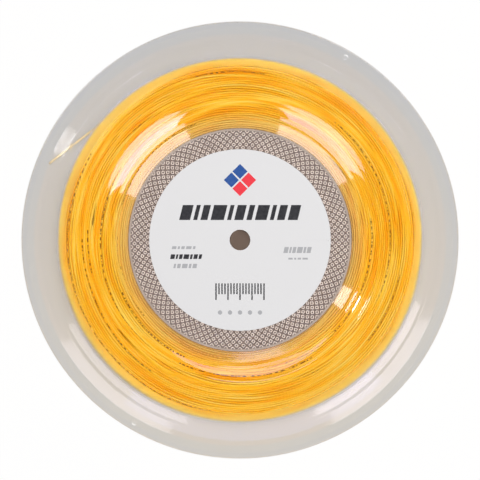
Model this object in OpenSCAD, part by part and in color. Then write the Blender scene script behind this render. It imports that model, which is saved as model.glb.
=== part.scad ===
// String reel: two moulded half-shells snapped together over a hollow hub, the
// wound string with its free end, and a round label on the front face.
// The reel lies flat. Z is its axis, and z = 0 is the plane that the rear rim rests on.

/* [Reel] */
// Outer diameter of both flanges
reel_d = 262; // [240:1:290]
// Width over the two rim faces
reel_w = 32; // [29:0.5:40]
// Wall of the moulded flanges and hub plates
wall = 1.8; // [1.2:0.1:2.4]

/* [Flange profile] */
// Width of the flat band at the rim
band_w = 7; // [5:0.5:9]
// Radius of the rim's outer edge
edge_r = 0.8; // [0.4:0.1:1.2]
// Radial width of the cone inside the rim band
cone_w = 7.2; // [5:0.1:9]
// Height of that cone
cone_rise = 2.6; // [1.5:0.1:3.5]
// Radial width of the curved rise between the valley and the cone
rise_w = 6.6; // [5:0.1:9]
// Depth of the valley below the rim face
valley_depth = 4.5; // [3.5:0.1:5.5]
// Slope at both ends of the valley, degrees
valley_slope = 3; // [0:0.5:5]
// Radial width of the straight shoulder outside the hub
shoulder_w = 11.2; // [8:0.1:14]
// Fall of the flange over that shoulder
shoulder_fall = 1.7; // [1:0.1:2.2]
// Radial width of the curved slope from the shoulder into the valley
slope_w = 12; // [9:0.5:14]
// Slope where that curve starts, degrees
slope_start = 20; // [12:1:24]
// Slope where the rise meets the cone, degrees
rise_end = 24; // [15:1:28]

/* [Hub] */
// Outer diameter of the drum that the string is wound on
drum_d = 133; // [120:1:146]
// Wall of the drum
drum_wall = 2; // [1.6:0.1:3]
// Depth of the hub face below the rim face
hub_inset = 0.2; // [0.1:0.1:1]
// Depth of the recess that holds the label and the knurled band
seat_depth = 0.3; // [0.25:0.05:0.6]
// Width of the lip around that recess
lip_w = 0.7; // [0.5:0.1:1.5]
// Diameter of the spindle bore
bore_d = 12; // [10:0.5:16]
// Wall of the bore tube
bore_wall = 2.2; // [1.6:0.1:4]
// Radius in the corner between the drum and the flange
root_r = 1; // [0.5:0.1:2]
// Number of ribs between the bore tube and the drum
rib_count = 8; // [4:4:12]
// Thickness of a rib
rib_t = 1.6; // [1:0.1:2]
// Radius that the ribs reach
rib_reach = 52; // [44:1:56]
// Height of a rib at the bore tube
rib_high = 10; // [6:0.5:12]
// Height of a rib at its far end
rib_low = 3; // [2:0.5:5]

/* [Joint between the halves] */
// Overlap of the spigot on the front drum with the rear drum
lap = 4; // [2:0.5:6]
// Wall of that spigot
spigot_wall = 0.9; // [0.7:0.1:1.2]
// Clearance of the spigot and the snap stems, per side
snap_gap = 0.15; // [0.1:0.05:0.25]
// Gap left where the two halves meet
seam_gap = 0.1; // [0.05:0.05:0.2]
// Number of snap posts
post_count = 4; // [2:1:4]
// Distance of the snap posts from the axis
post_at = 40; // [30:1:46]
// Diameter of the bosses that carry the stems and sockets
boss_d = 9; // [8.5:0.5:12]
// Diameter of a snap stem
stem_d = 5.2; // [4:0.1:5.6]
// Length of a snap stem past the seam
stem_l = 7.5; // [6.5:0.5:9]
// Height of the barb on a stem
barb_h = 2.4; // [1.5:0.1:3]
// How far the barb stands out
barb_out = 0.45; // [0.3:0.05:0.6]
// Width of the slot that splits a stem
stem_slot = 1.1; // [0.8:0.1:1.6]

/* [String ends] */
// Diameter of the holes in the rim band for the string's end
eyelet_d = 2.4; // [2:0.1:3]
// Distance of those holes from the rim's edge
eyelet_inset = 4.4; // [3.4:0.1:4.8]
// Angle of the front holes, degrees
front_eyelet_turn = 60; // [0:1:180]
// Angle of the rear holes, degrees
rear_eyelet_turn = 158; // [150:1:165]

/* [String] */
// Diameter of the string
string_d = 1.3; // [1.1:0.05:1.4]
// Outer diameter of the wound string
wound_d = 218; // [190:1:222]
// Gap between the wound string and the mouldings
wound_gap = 0.3; // [0.2:0.05:0.5]
// Rounding of the pack's outer edge, where the outer layer turns from the face to the side
wound_edge = 1.5; // [1:0.1:2.5]
// Least gap between neighbouring turns of the outer layer
turn_gap = 0.5; // [0.42:0.01:0.8]
// Most turns in the outer layer, over the front face and the rim side together
most_turns = 24; // [12:1:24]
// Angle where the outer layer ends and the free end leaves, degrees
leave_turn = 128; // [120:1:135]

/* [Label] */
// Diameter of the label
label_d = 109; // [90:1:116]
// Thickness of the label
label_t = 0.2; // [0.1:0.05:0.2]
// Clearance of the label's hole around the bore, per side
label_gap = 0.2; // [0.1:0.1:0.5]

/* [Hidden] */
$fn = 128;

// Heights here are counted from the reel's middle plane, outwards
mid_z = reel_w / 2;
rim_r = reel_d / 2;
eyelet_at = rim_r - eyelet_inset;
drum_r = drum_d / 2;
bore_r = bore_d / 2;
valley_z = mid_z - valley_depth;
hub_z = mid_z - hub_inset;
seat_z = hub_z - seat_depth;
plate_z = seat_z - wall;

// Radii of the creases of a flange, from the hub to the rim
lip_r = drum_r + lip_w / 2;
shoulder_r = lip_r + shoulder_w;
slope_r = shoulder_r + slope_w;
band_r = rim_r - band_w;
cone_r = band_r - cone_w;
rise_r = cone_r - rise_w;
shoulder_z = hub_z - shoulder_fall;
root_z = hub_z - wall - (drum_r + root_r - lip_r) * shoulder_fall / shoulder_w;
valley_end_z = valley_z + (rise_r - slope_r) * tan(valley_slope) / 4;
cone_z = mid_z - cone_rise;
arc_steps = 8;
root_steps = 6;
chamfer = 0.4;
overcut = 1;
wide_fn = 240;
small_fn = 32;

// The space that the string fills, and the outer layer on its plain core
wound_z = valley_z - wall - wound_gap;
string_r = string_d / 2;
loop_rings = 24;
loop_sides = 6;
layer_r = wound_d / 2 - string_r;
layer_z = wound_z - string_r;
touch = 0.02;
core_in_r = drum_r + wound_gap;
core_out_r = layer_r * cos(180 / loop_rings) - string_r - touch;
core_front_z = wound_z - string_d - touch;
lead_bend = 3 * string_d;
lead_r = drum_r + string_d + touch;
first_r = lead_r + lead_bend;
lead_steps = 4;
face_l = layer_r - wound_edge - first_r;
edge_l = wound_edge * sqrt(2);
edge_bend = 45;
layer_l = face_l + edge_l + 2 * layer_z - wound_edge;
turns = min(most_turns, floor(layer_l * cos(edge_bend / 2) / (string_d + turn_gap)));
pitch = layer_l / turns;

// The free end's route, from where it leaves the pack to its eyelet in the rear rim
tail_sides = 8;
tail_route = [
    [-67.8, 84.6, 7.25], [-70.6, 82.5, 7.25], [-73.4, 80.4, 7.25], [-76.2, 78.3, 7.25],
    [-79.0, 76.2, 7.25], [-81.8, 74.1, 7.2], [-84.6, 72.0, 7.2], [-87.4, 69.9, 7.1],
    [-90.2, 67.8, 7.0], [-93.0, 65.7, 6.9], [-95.8, 63.6, 6.7], [-98.6, 61.5, 6.4],
    [-101.4, 59.4, 6.0], [-104.2, 57.3, 5.6], [-107.0, 55.2, 5.1], [-109.8, 53.1, 4.6],
    [-112.6, 51.0, 4.0], [-114.6, 49.5, 3.4], [-116.2, 48.3, 2.7], [-117.0, 47.7, 1.9],
    [-117.4, 47.4, 1.1], [-117.4, 47.4, 0.4]
];

function unit(v) = v / norm(v);
function polar(r, a, z = 0) = [r * cos(a), r * sin(a), z];

// A smooth stretch of a profile between two points with given slopes, without its first point
function ease(a, b, slope_a, slope_b, steps = arc_steps) = [
    for (i = [1:steps])
        let (t = i / steps, l = b.x - a.x, t2 = t * t, t3 = t2 * t)
        [a.x + l * t,
         a.y * (2 * t3 - 3 * t2 + 1) + b.y * (3 * t2 - 2 * t3)
         + l * tan(slope_a) * (t3 - 2 * t2 + t) + l * tan(slope_b) * (t3 - t2)]
];

function arc(centre, r, from, to, steps) = [
    for (i = [0:steps])
        let (a = from + (to - from) * i / steps)
        centre + r * [cos(a), sin(a)]
];

// The flange's curves from the lip of the hub to the inner edge of the rim band
function flange_line() = concat(
    [[lip_r, hub_z], [shoulder_r, shoulder_z]],
    ease([shoulder_r, shoulder_z], [slope_r, valley_end_z], -slope_start, -valley_slope),
    ease([slope_r, valley_end_z], [rise_r, valley_end_z], -valley_slope, valley_slope),
    ease([rise_r, valley_end_z], [cone_r, cone_z], valley_slope, rise_end),
    [[band_r, mid_z]]
);

// The moulding's section: outer face, rim, inner face, then the drum's own foot
function shell_section(foot) =
    let (line = flange_line(), last = len(line) - 1)
    concat(
        [[bore_r, plate_z + wall], [drum_r - lip_w, seat_z], [drum_r - lip_w, hub_z]],
        line,
        arc([rim_r - edge_r, mid_z - edge_r], edge_r, 90, 0, root_steps),
        [[rim_r, mid_z - wall + chamfer], [rim_r - chamfer, mid_z - wall]],
        [for (i = [last:-1:1]) line[i] - [0, wall]],
        arc([drum_r + root_r, root_z - root_r], root_r, 90, 180, root_steps),
        foot,
        [[drum_r - drum_wall, plate_z], [bore_r + bore_wall, plate_z],
         [bore_r + bore_wall, seam_gap / 2], [bore_r, seam_gap / 2]]
    );

// The front drum ends in a spigot, and the rear drum in the socket around it
spigot_r = drum_r - drum_wall + spigot_wall;
front_foot = [
    [drum_r, seam_gap / 2], [spigot_r, seam_gap / 2],
    [spigot_r, -lap + chamfer], [spigot_r - chamfer, -lap], [drum_r - drum_wall, -lap]
];
rear_foot = [
    [drum_r, seam_gap / 2], [spigot_r + snap_gap, seam_gap / 2],
    [spigot_r + snap_gap, lap + snap_gap], [drum_r - drum_wall, lap + snap_gap]
];

module ribs() {
    for (i = [0:rib_count - 1])
        rotate(i * 360 / rib_count) rotate([90, 0, 0])
            translate([0, 0, -rib_t / 2]) linear_extrude(rib_t)
                polygon([
                    [bore_r + bore_wall / 2, plate_z + wall / 2], [rib_reach, plate_z + wall / 2],
                    [rib_reach, plate_z - rib_low], [bore_r + bore_wall / 2, plate_z - rib_high]
                ]);
}

// Places its children at the snap posts, midway between ribs
module at_posts() {
    for (i = [0:post_count - 1])
        rotate(i * 360 / post_count + 180 / rib_count) translate([post_at, 0, 0]) children();
}

module boss() {
    translate([0, 0, seam_gap / 2]) cylinder(d = boss_d, h = plate_z + wall / 2 - seam_gap / 2);
}

// A split stem with a barb, hanging from its boss past the seam
module snap_stem() {
    barb_r = stem_d / 2 + barb_out;
    difference() {
        rotate_extrude() polygon([
            [0, overcut], [stem_d / 2, overcut], [stem_d / 2, barb_h - stem_l],
            [barb_r, barb_h - stem_l - chamfer], [stem_d / 2 - chamfer, -stem_l], [0, -stem_l]
        ]);
        translate([-boss_d / 2, -stem_slot / 2, -2 * stem_l]) cube([boss_d, stem_slot, 2 * stem_l]);
    }
}

// The blind socket for a stem, with the groove that its barb springs into
module snap_socket() {
    hole_r = stem_d / 2 + snap_gap;
    groove_r = stem_d / 2 + barb_out + snap_gap;
    groove_top = stem_l - barb_h - snap_gap;
    floor_z = stem_l + 2 * snap_gap;
    rotate_extrude() polygon([
        [0, -overcut], [hole_r + chamfer + overcut, -overcut], [hole_r, chamfer], [hole_r, groove_top],
        [groove_r, groove_top], [groove_r, floor_z], [0, floor_z]
    ]);
}

module eyelets(turn) {
    for (a = [turn, turn + 180])
        rotate(a) translate([eyelet_at, 0, mid_z - 2 * wall])
            cylinder(d = eyelet_d, h = 3 * wall, $fn = small_fn);
}

module front_shell() {
    color([0.87, 0.86, 0.83, 0.6])
    translate([0, 0, mid_z]) difference() {
        union() {
            rotate_extrude($fn = wide_fn) polygon(shell_section(front_foot));
            ribs();
            at_posts() { boss(); snap_stem(); }
        }
        eyelets(front_eyelet_turn);
    }
}

module rear_shell() {
    color([0.87, 0.86, 0.83, 0.6])
    translate([0, 0, mid_z]) mirror([0, 0, 1]) difference() {
        union() {
            rotate_extrude($fn = wide_fn) polygon(shell_section(rear_foot));
            ribs();
            at_posts() boss();
        }
        at_posts() snap_socket();
        eyelets(rear_eyelet_turn);
    }
}

// The inner turns of the wound string, as one plain ring
module string_core() {
    color([0.93, 0.66, 0.12])
    translate([0, 0, mid_z]) rotate_extrude($fn = wide_fn) polygon([
        [core_in_r, -wound_z], [core_out_r, -wound_z], [core_out_r, core_front_z - wound_edge],
        [core_out_r - wound_edge, core_front_z], [core_in_r, core_front_z]
    ]);
}

// One unbroken tube along a list of points, with triangles for faces. across, where it is
// given, is the level direction across the whole route.
module tube(path, r, sides, across = undef) {
    last = len(path) - 1;
    rings = [
        for (i = [0:last])
            let (
                t = unit(path[min(i + 1, last)] - path[max(i - 1, 0)]),
                side = is_undef(across) ? unit([t.y, -t.x, 0]) : across,
                up = cross(side, t)
            )
            for (k = [0:sides - 1]) path[i] + r * (cos(360 * k / sides) * side + sin(360 * k / sides) * up)
    ];
    walls = [
        for (i = [0:last - 1], k = [0:sides - 1])
            let (a = i * sides + k, b = i * sides + (k + 1) % sides, c = a + sides, d = b + sides)
            each [[a, b, d], [a, d, c]]
    ];
    top = last * sides;
    ends = [for (k = [1:sides - 2]) each [[0, k + 1, k], [top, top + k, top + k + 1]]];
    polyhedron(points = rings, faces = concat(walls, ends));
}

// Where the outer layer is after a length of its section line, as [radius, height]
function layer_at(l) =
    l < face_l ? [first_r + l, layer_z]
    : l < face_l + edge_l ? [layer_r - wound_edge, layer_z] + (l - face_l) / sqrt(2) * [1, -1]
    : [layer_r, layer_z - wound_edge - (l - face_l - edge_l)];

// The outer layer's centre line: out of the drum, over the front face in a spiral,
// then down the rim side in a helix to where the free end leaves
function winding_path() =
    let (
        all = turns * loop_rings,
        start_turn = leave_turn - turns * 360,
        bend_at = [lead_r, -lead_bend]
    )
    concat(
        [for (p = concat([[drum_r + touch, 0], [lead_r, 0]], [
            for (i = [1:lead_steps - 1])
                let (bend = 90 * i / lead_steps)
                bend_at + lead_bend * [sin(bend), cos(bend)]
        ])) let (turn = start_turn - 360 / loop_rings)
            [p.x * cos(turn) + p.y * sin(turn), p.x * sin(turn) - p.y * cos(turn), layer_z]],
        [for (i = [0:all])
            let (done = i / loop_rings, at = layer_at(done * pitch))
            polar(at.x, start_turn + 360 * done, at.y)],
        [polar(layer_r, leave_turn, -layer_z) + string_d * polar(1, leave_turn + 90)]
    );

// The least distance between parts of a path half a turn or more apart, less the string itself
function least_gap(path) = min([
    for (i = [0:len(path) - 1], j = [i + loop_rings / 2:1:len(path) - 1]) norm(path[i] - path[j])
]) - string_d;

module string_winding() {
    path = winding_path();
    echo(least_gap_of_the_winding_to_itself = least_gap(path));
    color([0.97, 0.72, 0.18])
    translate([0, 0, mid_z]) tube(path, string_r, loop_sides);
}

module string_tail() {
    run = tail_route[1] - tail_route[0];
    color([0.97, 0.74, 0.25])
    tube(tail_route, string_r, tail_sides, across = unit([run.y, -run.x, 0]));
}

module front_label() {
    color([0.93, 0.93, 0.92])
    translate([0, 0, mid_z + seat_z]) difference() {
        cylinder(d = label_d, h = label_t);
        translate([0, 0, -overcut]) cylinder(d = bore_d + 2 * label_gap, h = label_t + 2 * overcut);
    }
}

front_shell();
rear_shell();
string_core();
string_winding();
string_tail();
front_label();
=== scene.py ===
"""The looks of a reel of racket string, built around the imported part.

The reel lies on its rear rim, with Z as its axis. Lengths are in metres. In a moulded half's
section, heights are counted outwards from the reel's middle plane.
"""

import logging
import math
from collections.abc import Iterator, Sequence
from contextlib import contextmanager
from dataclasses import dataclass
from enum import Enum
from itertools import pairwise

import bmesh
import bpy
import numpy as np
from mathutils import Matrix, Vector


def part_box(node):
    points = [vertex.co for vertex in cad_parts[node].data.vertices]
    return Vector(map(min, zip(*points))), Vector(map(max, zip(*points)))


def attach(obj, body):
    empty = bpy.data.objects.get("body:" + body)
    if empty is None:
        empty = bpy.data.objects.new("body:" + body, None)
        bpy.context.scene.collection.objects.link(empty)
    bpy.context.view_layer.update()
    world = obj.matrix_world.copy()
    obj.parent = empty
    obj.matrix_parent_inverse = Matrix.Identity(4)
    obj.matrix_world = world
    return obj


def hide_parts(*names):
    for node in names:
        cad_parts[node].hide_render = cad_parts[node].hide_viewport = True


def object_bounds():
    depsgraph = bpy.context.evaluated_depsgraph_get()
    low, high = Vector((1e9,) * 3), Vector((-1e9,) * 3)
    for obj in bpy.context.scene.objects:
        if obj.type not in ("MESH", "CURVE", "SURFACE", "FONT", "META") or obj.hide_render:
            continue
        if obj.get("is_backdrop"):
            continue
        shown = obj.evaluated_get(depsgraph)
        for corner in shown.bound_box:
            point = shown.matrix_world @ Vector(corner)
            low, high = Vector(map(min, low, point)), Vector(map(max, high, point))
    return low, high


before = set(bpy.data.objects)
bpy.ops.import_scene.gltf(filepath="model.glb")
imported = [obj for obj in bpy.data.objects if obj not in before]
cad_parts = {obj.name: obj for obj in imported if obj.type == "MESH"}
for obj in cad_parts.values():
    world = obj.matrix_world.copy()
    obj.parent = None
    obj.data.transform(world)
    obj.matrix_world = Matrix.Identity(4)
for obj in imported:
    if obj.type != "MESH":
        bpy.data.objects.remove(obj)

MM = 0.001
BODY = "root"
AXIS = (0.0, 0.0, 1.0)
CENTRE = (0.0, 0.0, 0.0)
STUD_HEIGHT = "stud_height"
STRING_MAP = "along_string"
MERGE_GAP = 0.002 * MM
SMOOTH_BELOW = math.radians(35)
NOISE_RANGE = (0.3, 0.7)

LOG = logging.getLogger("string_reel")

Piece = bpy.types.Object
Point = tuple[float, float]
Range = tuple[float, float]
Colour = tuple[float, float, float, float]
Socket = bpy.types.NodeSocket


class Face(Enum):
    """The two faces of the reel. The value is the direction along the axis."""

    FRONT = 1
    REAR = -1


class Slot(Enum):
    """The record's material slots."""

    PLASTIC = "clear_plastic"
    STRING = "string"
    PAPER = "label_paper"


# ---------------------------------------------------------------- modelling helpers


def select_only(piece: Piece) -> None:
    """Makes one piece the active and the only selected object.

    Args:
        piece: The object to select.
    """
    bpy.ops.object.select_all(action="DESELECT")
    bpy.context.view_layer.objects.active = piece
    piece.select_set(True)


@contextmanager
def editing(piece: Piece, mode: str = "VERT", action: str = "SELECT",
            ) -> Iterator[bmesh.types.BMesh]:
    """Opens one piece in edit mode and closes it again.

    Args:
        piece: The mesh object to edit.
        mode: The select mode, VERT, EDGE or FACE.
        action: SELECT to start with everything selected, DESELECT with nothing.

    Yields:
        The edit mesh, for selecting by place.
    """
    select_only(piece)
    bpy.ops.object.mode_set(mode="EDIT")
    bpy.ops.mesh.select_mode(type=mode)
    bpy.ops.mesh.select_all(action=action)
    yield bmesh.from_edit_mesh(piece.data)
    bpy.ops.object.mode_set(mode="OBJECT")


def name_piece(name: str) -> Piece:
    """Names the active object and moves its place into its mesh.

    Args:
        name: The new name.

    Returns:
        The object.
    """
    piece = bpy.context.active_object
    piece.name = piece.data.name = name
    bpy.ops.object.transform_apply(location=True, rotation=True, scale=True)
    return piece


def add_block(name: str, place: Sequence[float], size: Sequence[float],
              turned: float = 0.0) -> Piece:
    """Adds a block at its place and size.

    Args:
        name: The name of the new object.
        place: The block's centre.
        size: Its three lengths.
        turned: Its turn about the upright axis.

    Returns:
        The block.
    """
    bpy.ops.object.select_all(action="DESELECT")
    bpy.ops.mesh.primitive_cube_add(size=1, location=place, rotation=(0, 0, turned), scale=size)
    return name_piece(name)


def draw_line(name: str, points: Sequence[Point], closed: bool = False) -> Piece:
    """Draws a section line in the XZ plane by extruding one vertex from point to point.

    Args:
        name: The name of the new object.
        points: The line's points, as radius and height.
        closed: True to come back to the first point.

    Returns:
        The line, as an object with edges alone.
    """
    route = [*points, points[0]] if closed else list(points)
    bpy.ops.object.select_all(action="DESELECT")
    bpy.ops.mesh.primitive_plane_add(size=MM, location=(route[0][0], 0, route[0][1]))
    line = name_piece(name)
    with editing(line):
        bpy.ops.mesh.merge(type="CENTER")
        for here, there in pairwise(route):
            step = (there[0] - here[0], 0, there[1] - here[1])
            bpy.ops.mesh.extrude_vertices_move(TRANSFORM_OT_translate={"value": step})
    return line


def turn(line: Piece, steps: int, centre: Sequence[float] = CENTRE) -> Piece:
    """Turns a section line all the way round an upright axis and closes the seam.

    Args:
        line: The section line.
        steps: The number of steps round.
        centre: A point of the axis.

    Returns:
        The same object, now a closed shell whose faces point outwards.
    """
    with editing(line):
        bpy.ops.mesh.spin(steps=steps, angle=math.tau, center=centre, axis=AXIS)
        bpy.ops.mesh.select_all(action="SELECT")
        bpy.ops.mesh.remove_doubles(threshold=MERGE_GAP)
        bpy.ops.mesh.normals_make_consistent(inside=False)
    return line


def shift(piece: Piece, move: Sequence[float]) -> None:
    """Moves everything in a mesh."""
    with editing(piece):
        bpy.ops.transform.translate(value=move)


def ring_copies(piece: Piece, count: int) -> None:
    """Copies everything in a mesh round the reel's axis, within the same mesh.

    Args:
        piece: The mesh object.
        count: The number of places round the axis, the first one included.
    """
    with editing(piece):
        for _ in range(count - 1):
            bpy.ops.mesh.duplicate()
            bpy.ops.transform.rotate(
                value=math.tau / count, orient_axis="Z", center_override=CENTRE
            )


def combine(piece: Piece, tool: Piece, operation: str) -> None:
    """Joins a tool to a piece, or cuts it out, and removes the tool.

    Args:
        piece: The piece that stays.
        tool: The object to join or cut with.
        operation: UNION or DIFFERENCE.
    """
    select_only(piece)
    modifier = piece.modifiers.new("combine", "BOOLEAN")
    modifier.operation = operation
    modifier.object = tool
    modifier.solver = "EXACT"
    bpy.ops.object.modifier_apply(modifier=modifier.name)
    bpy.data.objects.remove(tool)


def join(pieces: Sequence[Piece]) -> Piece:
    """Joins several mesh objects into the first.

    Args:
        pieces: The objects to join.

    Returns:
        The first object, which holds them all.
    """
    select_only(pieces[0])
    for piece in pieces[1:]:
        piece.select_set(True)
    bpy.ops.object.join()
    return pieces[0]


def spoke(angle: float, reach: float) -> Vector:
    """Gives the level vector of a length at an angle round the reel's axis."""
    return Vector((math.cos(angle), math.sin(angle), 0)) * reach


def on_rings(radius: np.ndarray, angle: np.ndarray, height: np.ndarray) -> np.ndarray:
    """Turns radii, angles and heights into rows of points."""
    return np.stack([radius * np.cos(angle), radius * np.sin(angle), height], 1)


def grade(slope: float) -> float:
    """Gives the rise per length of a slope in degrees."""
    return math.tan(math.radians(slope))


def wear(piece: Piece, slot: Slot, *finishes: bpy.types.Material) -> None:
    """Gives a piece its finishes, and lets it ride on the reel's body.

    Args:
        piece: The finished mesh.
        slot: The record's slot; not used.
        *finishes: Its materials, in the order of its faces' indices.
    """
    for finish in finishes:
        piece.data.materials.append(finish)
    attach(piece, BODY)


def report(*pieces: Piece) -> None:
    """Logs the name and the number of faces of each piece."""
    for piece in pieces:
        LOG.info("%s: %d faces", piece.name, len(piece.data.polygons))


def unit(vectors: np.ndarray) -> np.ndarray:
    """Scales each row to a length of one."""
    return vectors / np.linalg.norm(vectors, axis=-1, keepdims=True)


def sweep(name: str, routes: Sequence[np.ndarray], radius: float, sides: int,
          across: Sequence[float] | None = None) -> Piece:
    """Sweeps a round string along each route, with closed ends.

    The UV map has U along the string, in metres, and V once round it.

    Args:
        name: The name of the new object.
        routes: The centre lines, each as rows of points.
        radius: The string's radius.
        sides: The number of sides round the string.
        across: The level direction across the whole route, where it runs upright somewhere.

    Returns:
        The new object.
    """
    verts, faces, uvs = [], [], []
    turn_of = math.tau * np.arange(sides) / sides
    for route in routes:
        first = sum(len(v) for v in verts)
        along = unit(np.gradient(route, axis=0))
        if across is None:
            side = unit(np.stack([along[:, 1], -along[:, 0], 0 * along[:, 0]], 1))
        else:
            side = np.tile(unit(np.array(across)), (len(route), 1))
        up = np.cross(side, along)
        ring = np.cos(turn_of)[:, None] * side[:, None] + np.sin(turn_of)[:, None] * up[:, None]
        verts.append((route[:, None] + radius * ring).reshape(-1, 3))
        reach = np.concatenate([[0], np.cumsum(np.linalg.norm(np.diff(route, axis=0), axis=1))])
        row = np.arange(len(route) - 1)[:, None] * sides + first
        here, there = np.arange(sides)[None], (np.arange(sides)[None] + 1) % sides
        quads = np.stack([row + here, row + there, row + sides + there, row + sides + here], -1)
        faces += quads.reshape(-1, 4).tolist()
        low, high = reach[:-1, None] + 0 * here, reach[1:, None] + 0 * here
        v0, v1 = here / sides + 0 * low, (here + 1) / sides + 0 * low
        uvs.append(np.stack([low, v0, low, v1, high, v1, high, v0], -1).reshape(-1, 2))
        last = first + (len(route) - 1) * sides
        faces.append(list(range(first + sides - 1, first - 1, -1)))
        faces.append(list(range(last, last + sides)))
        uvs.append(np.tile([[0.0, 0.5]], (sides, 1)))
        uvs.append(np.tile([[reach[-1], 0.5]], (sides, 1)))
    mesh = bpy.data.meshes.new(name)
    mesh.from_pydata(np.concatenate(verts).tolist(), [], faces)
    mesh.uv_layers.new(name=STRING_MAP).data.foreach_set("uv", np.concatenate(uvs).ravel())
    mesh.shade_smooth()
    piece = bpy.data.objects.new(name, mesh)
    bpy.context.scene.collection.objects.link(piece)
    return piece


# ---------------------------------------------------------------- finishes


class Nodes:
    """A small hand for wiring the nodes of a material or a world."""

    def __init__(self, owner: bpy.types.Material | bpy.types.World, kind: str = "Material") -> None:
        """Empties the owner's tree and adds its output.

        Args:
            owner: The material or world to wire.
            kind: Which of the two it is, Material or World.
        """
        owner.use_nodes = True
        self.tree = owner.node_tree
        self.tree.nodes.clear()
        self.output = self.tree.nodes.new("ShaderNodeOutput" + kind)

    def add(self, kind: str, inputs: dict[str | int, object] | None = None,
            **settings: object) -> bpy.types.Node:
        """Adds a node, sets its properties, and sets or links its inputs.

        Args:
            kind: The node's type, without the leading ShaderNode.
            inputs: Values or sockets, by the input's name or number.
            **settings: The node's own properties.

        Returns:
            The node.
        """
        node = self.tree.nodes.new("ShaderNode" + kind)
        for name, value in settings.items():
            setattr(node, name, value)
        for key, value in (inputs or {}).items():
            if isinstance(value, Socket):
                self.tree.links.new(value, node.inputs[key])
            else:
                node.inputs[key].default_value = value
        return node

    def math(self, operation: str, *values: object) -> Socket:
        """Adds a Math node for numbers or sockets and gives its result."""
        return self.add("Math", dict(enumerate(values)), operation=operation).outputs[0]

    def vector(self, operation: str, *values: object) -> Socket:
        """Adds a Vector Math node for vectors or sockets and gives its vector."""
        return self.add("VectorMath", dict(enumerate(values)), operation=operation).outputs[0]

    def noise(self, place: object, scale: float, detail: float = 3.0) -> Socket:
        """Adds a noise pattern of so many cycles per unit and octaves, and gives its value."""
        inputs = {"Vector": place, "Scale": scale, "Detail": detail, "Roughness": 0.55}
        return self.add("TexNoise", inputs).outputs[0]

    def spread(self, value: object, low: float, high: float, to_low: float = 0.0,
               to_high: float = 1.0) -> Socket:
        """Maps the stretch from low to high onto another one, clamped at its ends."""
        inputs = {0: value, 1: low, 2: high, 3: to_low, 4: to_high}
        return self.add("MapRange", inputs).outputs[0]

    def profile(self, value: object, stops: Sequence[Point]) -> Socket:
        """Runs a value through a line of stops, level before the first and after the last.

        Args:
            value: The socket to read.
            stops: Pairs of a value and what it becomes.

        Returns:
            The result.
        """
        total = stops[0][1]
        for here, there in pairwise(stops):
            step = self.spread(value, here[0], there[0], 0.0, there[1] - here[1])
            total = self.math("ADD", total, step)
        return total

    def blend(self, share: object, under: object, over: object) -> Socket:
        """Mixes two colours, by the share of the upper one."""
        return self.add("Mix", {0: share, 6: under, 7: over}, data_type="RGBA").outputs[2]

    def place(self) -> Socket:
        """Gives the place on the piece, which is the place in the reel's own frame."""
        return self.add("TexCoord").outputs["Object"]

    def level_place(self) -> Socket:
        """Gives the place on the piece without its height."""
        return self.vector("MULTIPLY", self.place(), (1, 1, 0))

    def coordinate(self, number: int) -> Socket:
        """Gives one coordinate of the place on the piece."""
        return self.add("SeparateXYZ", {0: self.place()}).outputs[number]

    def radius(self) -> Socket:
        """Gives the distance from the reel's axis."""
        length = self.add("VectorMath", {0: self.level_place()}, operation="LENGTH")
        return length.outputs["Value"]

    def let_light_in(self, shader: bpy.types.Node, shade: Colour) -> bpy.types.Node:
        """Makes a clear shader open to lamps and to light that comes off other surfaces.

        Args:
            shader: The clear shader, as the camera and reflections see it.
            shade: The light that one surface lets through.

        Returns:
            The mixed shader.
        """
        path = self.add("LightPath").outputs
        for ray in ("Is Diffuse Ray", "Is Shadow Ray"):
            clear = self.add("BsdfTransparent", {"Color": shade})
            shader = self.add("MixShader", {0: path[ray], 1: shader.outputs[0],
                                            2: clear.outputs[0]})
        return shader

    def show(self, shader: bpy.types.Node) -> None:
        """Links a shader to the surface output."""
        self.tree.links.new(shader.outputs[0], self.output.inputs["Surface"])


class Finish:
    """What every finish shares: its name, and the way from its shader to a material."""

    name: str

    def material(self) -> bpy.types.Material:
        """Builds the material.

        Returns:
            The new material.
        """
        material = bpy.data.materials.new(self.name)
        nodes = Nodes(material)
        nodes.show(self.shader(nodes))
        return material

    def shader(self, nodes: Nodes) -> bpy.types.Node:
        """Wires the shader; each finish has its own."""
        raise NotImplementedError


@dataclass(frozen=True)
class ClearPlastic(Finish):
    """Clear moulded polystyrene, polished over the string and cloudier near the hub and rim."""

    name: str = "clear_plastic"
    colour: Colour = (0.99, 0.985, 0.975, 1.0)
    shade: Colour = (0.993, 0.988, 0.983, 1.0)
    roughness: tuple[Point, ...] = (
        (77 * MM, 0.05), (90 * MM, 0.08), (101 * MM, 0.09), (107 * MM, 0.4), (111 * MM, 0.25),
    )
    ior: float = 1.36
    gloss: float = 0.6
    gloss_roughness: float = 0.03
    clouds_per_metre: float = 60.0
    cloudiness: Range = (0.93, 1.07)

    def shader(self, nodes: Nodes) -> bpy.types.Node:
        """Wires the shader.

        Args:
            nodes: The material's nodes.

        Returns:
            The surface shader.
        """
        clouds = nodes.noise(nodes.place(), self.clouds_per_metre)
        cloudy = nodes.spread(clouds, *NOISE_RANGE, *self.cloudiness)
        rough = nodes.math("MULTIPLY", nodes.profile(nodes.radius(), self.roughness), cloudy)
        shader = nodes.add("BsdfPrincipled", {
            "Base Color": self.colour, "Roughness": rough, "IOR": self.ior,
            "Transmission Weight": 1.0, "Coat Weight": self.gloss,
            "Coat Roughness": self.gloss_roughness,
        })
        return nodes.let_light_in(shader, self.shade)


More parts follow.
